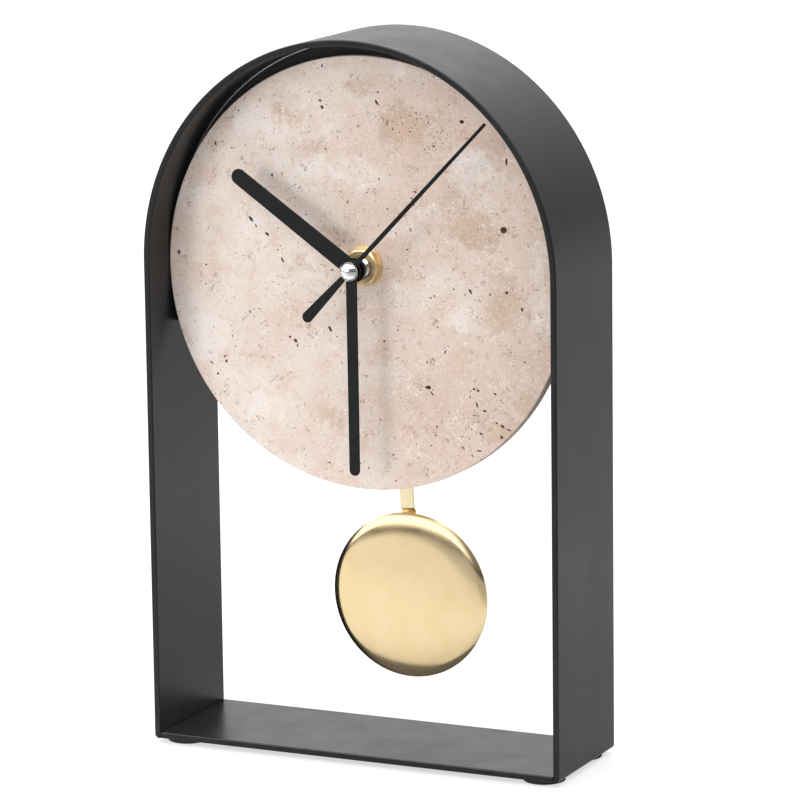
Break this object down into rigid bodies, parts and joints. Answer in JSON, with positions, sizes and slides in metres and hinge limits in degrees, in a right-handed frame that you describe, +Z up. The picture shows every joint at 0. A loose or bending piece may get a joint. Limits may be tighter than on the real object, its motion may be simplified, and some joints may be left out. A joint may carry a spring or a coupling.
{
  "type": "desk pendulum clock",
  "caption": "Arched black steel desk clock with a round travertine dial, black baton hands and a brass disc pendulum.",
  "frame": {"origin": "on the surface that the clock stands on, under the middle of its footprint", "axes": "+Z up, -Y out of the dial towards the person who reads it, +X towards three o'clock"},
  "size_m": [0.18, 0.0576, 0.2923],
  "materials": {
    "black_powder_coat": "fine matte black powder coat on steel",
    "black_plate": "matte black paint on sheet steel",
    "travertine": "honed beige travertine with open brown pits",
    "black_hand": "satin black paint on aluminium sheet",
    "chrome": "polished chrome plate",
    "nickel": "nickel plate over brass thread",
    "bright_brass": "turned brass",
    "satin_brass": "satin brushed brass",
    "black_rubber": "matte black rubber",
    "black_plastic": "textured moulded plastic",
    "grey_plastic": "moulded grey plastic",
    "white_plastic": "moulded natural white plastic",
    "steel_arbor": "drawn steel",
    "magnet": "sintered magnet",
    "stator_iron": "stamped soft iron",
    "copper_wire": "enamelled copper winding",
    "circuit_board": "green circuit board",
    "contact_strip": "nickel-plated spring strip",
    "battery_wrap": "plain printed film on a metal can"
  },
  "bodies": {
    "frame": {"frame_arch": "black_powder_coat", "base_plate": "black_powder_coat", "rubber_feet": "black_rubber", "carrier_plate": "black_plate", "dial_disc": "travertine", "rubber_washer": "black_rubber", "brass_washer": "bright_brass", "dial_nut": "bright_brass", "threaded_bush": "nickel", "movement_front_shell": "black_plastic", "middle_plate": "grey_plastic", "train_bridge": "grey_plastic", "movement_rear_cover": "black_plastic", "stator": "stator_iron", "coil_core": "stator_iron", "coil_bobbin": "white_plastic", "coil_winding": "copper_wire", "circuit_board": "circuit_board", "quartz_can": "nickel", "chip_resin": "black_plastic", "battery_contacts": "contact_strip", "drive_coil_bobbin": "white_plastic", "drive_coil": "copper_wire", "pivot_pin": "steel_arbor", "pivot_clip": "steel_arbor"},
    "minute_group": {"minute_hand": "black_hand", "minute_boss": "black_hand", "minute_arbor": "steel_arbor"},
    "hour_group": {"hour_hand": "black_hand", "hour_boss": "black_hand", "hour_wheel": "white_plastic"},
    "motion_group": {"motion_wheel": "white_plastic", "motion_arbor": "steel_arbor", "setting_knob": "grey_plastic"},
    "second_group": {"second_hand": "black_hand", "second_tube": "black_hand", "dome_cap": "chrome", "second_arbor": "steel_arbor", "second_wheel": "white_plastic"},
    "centre_wheel_group": {"centre_wheel": "white_plastic"},
    "third_wheel_group": {"third_wheel": "white_plastic"},
    "intermediate_wheel_group": {"intermediate_wheel": "white_plastic"},
    "rotor_group": {"rotor_pinion": "white_plastic", "rotor_magnet": "magnet"},
    "pendulum": {"pendulum_hanger": "black_plastic", "drive_magnet": "magnet", "pendulum_rod": "satin_brass", "bob_front_shell": "satin_brass", "bob_back_shell": "satin_brass", "bob_clip": "satin_brass"},
    "battery": {"aa_battery": "battery_wrap"}
  },
  "joints": [
    {"name": "minute_turn", "type": "hinge", "parent": "frame", "child": "minute_group", "pos_m": [0, 0, 0.2003], "axis": [0, 1, 0], "continuous": true},
    {"name": "hour_turn", "type": "hinge", "parent": "frame", "child": "hour_group", "pos_m": [0, 0, 0.2003], "axis": [0, 1, 0], "continuous": true},
    {"name": "setting_turn", "type": "hinge", "parent": "frame", "child": "motion_group", "pos_m": [-0.00881, 0, 0.20769], "axis": [0, 1, 0], "continuous": true},
    {"name": "second_turn", "type": "hinge", "parent": "frame", "child": "second_group", "pos_m": [0, 0, 0.2003], "axis": [0, 1, 0], "continuous": true},
    {"name": "centre_wheel_turn", "type": "hinge", "parent": "frame", "child": "centre_wheel_group", "pos_m": [0, 0, 0.2003], "axis": [0, 1, 0], "continuous": true},
    {"name": "third_wheel_turn", "type": "hinge", "parent": "frame", "child": "third_wheel_group", "pos_m": [0.00995, 0, 0.20205], "axis": [0, 1, 0], "continuous": true},
    {"name": "intermediate_wheel_turn", "type": "hinge", "parent": "frame", "child": "intermediate_wheel_group", "pos_m": [0.00177, 0, 0.21035], "axis": [0, 1, 0], "continuous": true},
    {"name": "rotor_turn", "type": "hinge", "parent": "frame", "child": "rotor_group", "pos_m": [-0.00339, 0, 0.21772], "axis": [0, 1, 0], "continuous": true},
    {"name": "pendulum_swing", "type": "hinge", "parent": "frame", "child": "pendulum", "pos_m": [0, 0, 0.168], "axis": [0, 1, 0], "range_deg": [-5, 11]},
    {"name": "battery_slide", "type": "slide", "parent": "frame", "child": "battery", "axis": [0, 1, 0], "range_m": [0, 0.02]}
  ],
  "couplings": [
    {"joint": "hour_turn", "follows": "minute_turn", "ratio": 0.083333},
    {"joint": "setting_turn", "follows": "minute_turn", "ratio": -0.33333},
    {"joint": "third_wheel_turn", "follows": "second_turn", "ratio": -0.13333},
    {"joint": "centre_wheel_turn", "follows": "second_turn", "ratio": 0.016667},
    {"joint": "intermediate_wheel_turn", "follows": "second_turn", "ratio": -5},
    {"joint": "rotor_turn", "follows": "second_turn", "ratio": 30}
  ]
}
